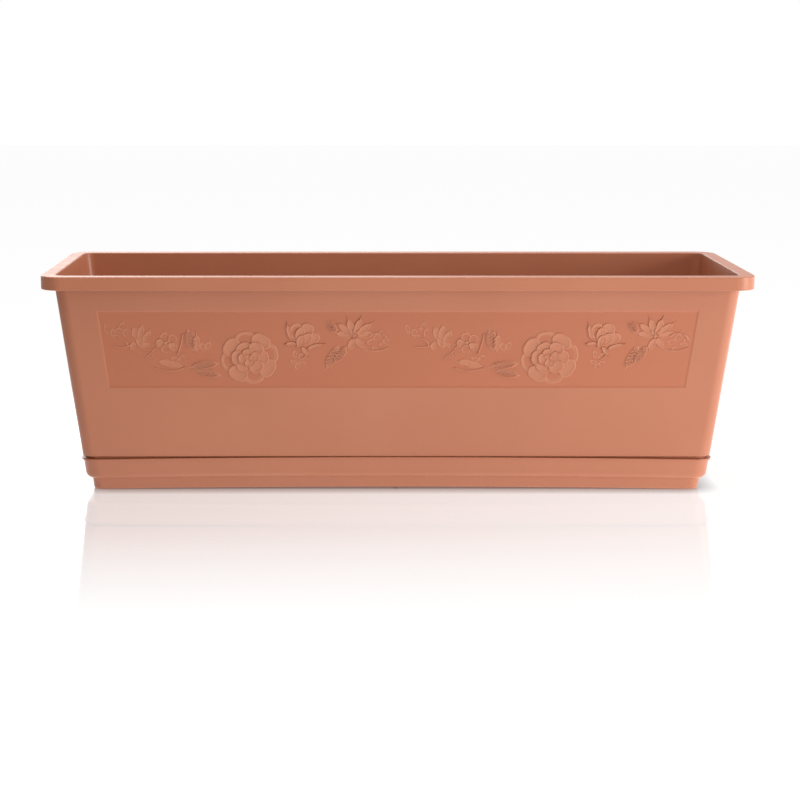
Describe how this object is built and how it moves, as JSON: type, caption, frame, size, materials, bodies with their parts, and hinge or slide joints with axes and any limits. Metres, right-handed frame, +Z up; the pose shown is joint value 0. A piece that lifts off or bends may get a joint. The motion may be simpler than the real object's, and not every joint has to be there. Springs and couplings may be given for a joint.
{
  "type": "window box planter",
  "caption": "Long plastic window box with leaning walls, a flanged rim and a shallow front panel, standing in a stepped drip tray that it lifts out of.",
  "frame": {"origin": "middle of the drip tray's underside, on the ground", "axes": "+X along the box, +Z up, and the front with the panel faces -Y"},
  "size_m": [0.6, 0.2, 0.19],
  "materials": {
    "trough_plastic": "satin moulded polypropylene, terracotta colour, with a duller panel",
    "tray_plastic": "satin moulded polypropylene, terracotta colour"
  },
  "bodies": {
    "tray": {"drip_tray": "tray_plastic"},
    "trough": {"trough": "trough_plastic"}
  },
  "joints": [
    {"name": "trough_lift", "type": "slide", "parent": "tray", "child": "trough", "axis": [0, 0, 1], "range_m": [0, 0.06]}
  ]
}
